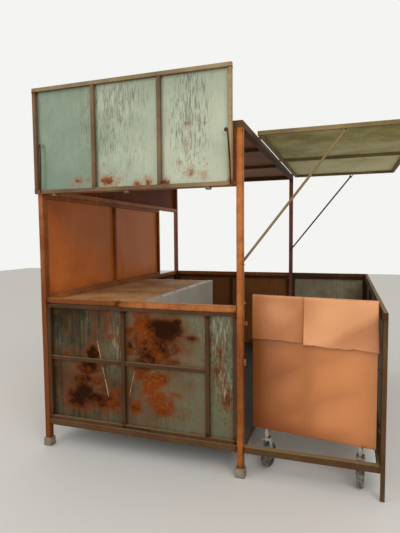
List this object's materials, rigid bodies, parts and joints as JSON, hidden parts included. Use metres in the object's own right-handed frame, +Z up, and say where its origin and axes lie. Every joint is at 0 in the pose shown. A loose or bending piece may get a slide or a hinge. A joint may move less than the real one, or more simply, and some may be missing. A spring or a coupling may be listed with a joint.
{
  "type": "street kiosk",
  "caption": "Welded tube and sheet street kiosk with a raised serving flap, a side bay shaded by a propped shutter, and a gate on castors.",
  "frame": {"origin": "on the ground, under the centre of the kiosk's outline with the flap and the shutter raised", "axes": "+Z up, -Y the serving side, +X towards the open side bay"},
  "size_m": [2.486, 2.5964, 2.476],
  "materials": {
    "orange_paint": "worn orange paint over rust",
    "maroon_paint": "weathered maroon paint",
    "rusty_steel": "rusted steel tube with paint remains",
    "zinc_sheet": "weathered grey-green sheet with rust streaks",
    "dark_steel": "dark worn steel",
    "grey_steel": "dull bare steel",
    "khaki_board": "worn plywood board",
    "masonry": "chipped masonry block",
    "castor_rubber": "dusty black rubber"
  },
  "bodies": {
    "kiosk_body": {"base_frame": "rusty_steel", "packing_blocks": "masonry", "front_left_post": "orange_paint", "front_right_post": "orange_paint", "rear_left_post": "rusty_steel", "rear_right_post": "rusty_steel", "side_bay_legs": "rusty_steel", "floor_plate": "dark_steel", "front_lower_frame": "rusty_steel", "front_lower_sheet": "zinc_sheet", "left_lower_frame": "rusty_steel", "left_lower_sheet": "zinc_sheet", "rear_lower_frame": "rusty_steel", "rear_lower_sheet": "zinc_sheet", "bay_side_frame": "rusty_steel", "bay_side_sheet": "zinc_sheet", "sill_rails": "orange_paint", "left_upper_frame": "orange_paint", "left_upper_sheet": "orange_paint", "header_rails": "orange_paint", "fascia_sheets": "maroon_paint", "roof_frame": "rusty_steel", "roof_sheet": "zinc_sheet", "flap_hinges": "rusty_steel", "shutter_hinges": "rusty_steel", "gate_hinges": "rusty_steel", "post_brackets": "orange_paint", "counter_frame": "dark_steel", "counter_side_sheet": "grey_steel", "counter_top": "khaki_board", "counter_edge_strip": "grey_steel"},
    "flap": {"flap_frame": "rusty_steel", "flap_sheet": "zinc_sheet", "flap_stays": "dark_steel"},
    "shutter": {"shutter_frame": "rusty_steel", "shutter_sheet": "zinc_sheet"},
    "near_prop_body": {"near_prop": "rusty_steel"},
    "far_prop_body": {"far_prop": "dark_steel"},
    "gate": {"gate_frame": "rusty_steel", "gate_panel": "orange_paint", "gate_aprons": "orange_paint"},
    "left_castor": {"left_castor_fork": "grey_steel"},
    "right_castor": {"right_castor_fork": "grey_steel"},
    "left_wheel": {"left_castor_wheel": "castor_rubber"},
    "right_wheel": {"right_castor_wheel": "castor_rubber"}
  },
  "joints": [
    {"name": "flap_hinge", "type": "hinge", "parent": "kiosk_body", "child": "flap", "pos_m": [-0.54, -1.27375, 1.766], "axis": [1, 0, 0], "range_deg": [0, 180]},
    {"name": "shutter_hinge", "type": "hinge", "parent": "kiosk_body", "child": "shutter", "pos_m": [0.225, 0.14325, 2.1375], "axis": [0, 1, 0], "range_deg": [0, 90]},
    {"name": "near_prop_pivot", "type": "hinge", "parent": "shutter", "child": "near_prop_body", "pos_m": [0.762, -0.93925, 2.105], "axis": [0.8078, 0, -0.5895], "range_deg": [0, 104]},
    {"name": "far_prop_pivot", "type": "hinge", "parent": "shutter", "child": "far_prop_body", "pos_m": [0.817, 1.22575, 2.105], "axis": [-0.7808, 0, 0.6248], "range_deg": [0, 90]},
    {"name": "gate_hinge", "type": "hinge", "parent": "kiosk_body", "child": "gate", "pos_m": [0.925, -1.15375, 0.56], "axis": [0, 0, -1], "range_deg": [-8, 72]},
    {"name": "left_castor_swivel", "type": "hinge", "parent": "gate", "child": "left_castor", "pos_m": [0.32089, -1.06915, 0.189], "axis": [0, 0, 1], "continuous": true},
    {"name": "right_castor_swivel", "type": "hinge", "parent": "gate", "child": "right_castor", "pos_m": [0.8804, -1.14778, 0.189], "axis": [0, 0, 1], "continuous": true},
    {"name": "left_wheel_spin", "type": "hinge", "parent": "left_castor", "child": "left_wheel", "pos_m": [0.32737, -1.045, 0.075], "axis": [-0.9659, 0.2588, 0], "continuous": true},
    {"name": "right_wheel_spin", "type": "hinge", "parent": "right_castor", "child": "right_wheel", "pos_m": [0.8804, -1.12278, 0.075], "axis": [-1, 0, 0], "continuous": true}
  ],
  "couplings": [
    {"joint": "near_prop_pivot", "follows": "shutter_hinge", "ratio": 1.1555},
    {"joint": "far_prop_pivot", "follows": "shutter_hinge", "ratio": 1}
  ]
}
